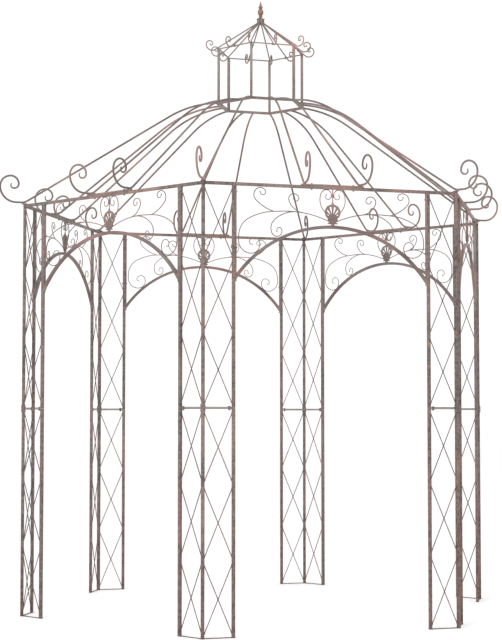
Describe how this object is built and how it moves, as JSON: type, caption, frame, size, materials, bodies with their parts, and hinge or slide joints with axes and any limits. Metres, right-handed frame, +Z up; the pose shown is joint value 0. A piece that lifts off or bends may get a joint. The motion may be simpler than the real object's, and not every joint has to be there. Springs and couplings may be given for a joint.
{
  "type": "six-sided wrought-iron garden gazebo",
  "caption": "Open hexagonal garden pavilion in rust-brown wrought iron: lattice corner posts, scrolled arches, rafter roof, small lantern and finial.",
  "frame": {"origin": "centre of the hexagon on the floor, at the underside of the feet", "axes": "+Z up; the corner posts stand at 0, 60, 120, 180, 240 and 300 degrees about +Z from +X, so one arch faces -Y (front) and +X points to a corner"},
  "size_m": [3.0494, 2.6606, 3.528],
  "materials": {
    "post_iron": "satin, antique rust brown",
    "arch_iron": "satin, antique rust brown",
    "roof_iron": "satin, antique rust brown",
    "lantern_iron": "satin, antique rust brown",
    "finial_iron": "satin, orange-brown rust"
  },
  "bodies": {
    "root": {"lower_post_front_left": "post_iron", "lower_post_front_right": "post_iron", "lower_post_right": "post_iron", "lower_post_back_right": "post_iron", "lower_post_back_left": "post_iron", "lower_post_left": "post_iron", "upper_post_front_left": "post_iron", "upper_post_front_right": "post_iron", "upper_post_right": "post_iron", "upper_post_back_right": "post_iron", "upper_post_back_left": "post_iron", "upper_post_left": "post_iron", "arch_front": "arch_iron", "arch_right_front": "arch_iron", "arch_right_back": "arch_iron", "arch_back": "arch_iron", "arch_left_back": "arch_iron", "arch_left_front": "arch_iron", "hip_rafter_front_left": "roof_iron", "hip_rafter_front_right": "roof_iron", "hip_rafter_right": "roof_iron", "hip_rafter_back_right": "roof_iron", "hip_rafter_back_left": "roof_iron", "hip_rafter_left": "roof_iron", "roof_fan_front": "roof_iron", "roof_fan_right_front": "roof_iron", "roof_fan_right_back": "roof_iron", "roof_fan_back": "roof_iron", "roof_fan_left_back": "roof_iron", "roof_fan_left_front": "roof_iron", "crown_ring": "lantern_iron", "lantern_post_front_left": "lantern_iron", "lantern_post_front_right": "lantern_iron", "lantern_post_right": "lantern_iron", "lantern_post_back_right": "lantern_iron", "lantern_post_back_left": "lantern_iron", "lantern_post_left": "lantern_iron", "lantern_top_ring": "lantern_iron", "lantern_roof": "lantern_iron", "finial": "finial_iron"}
  },
  "joints": []
}
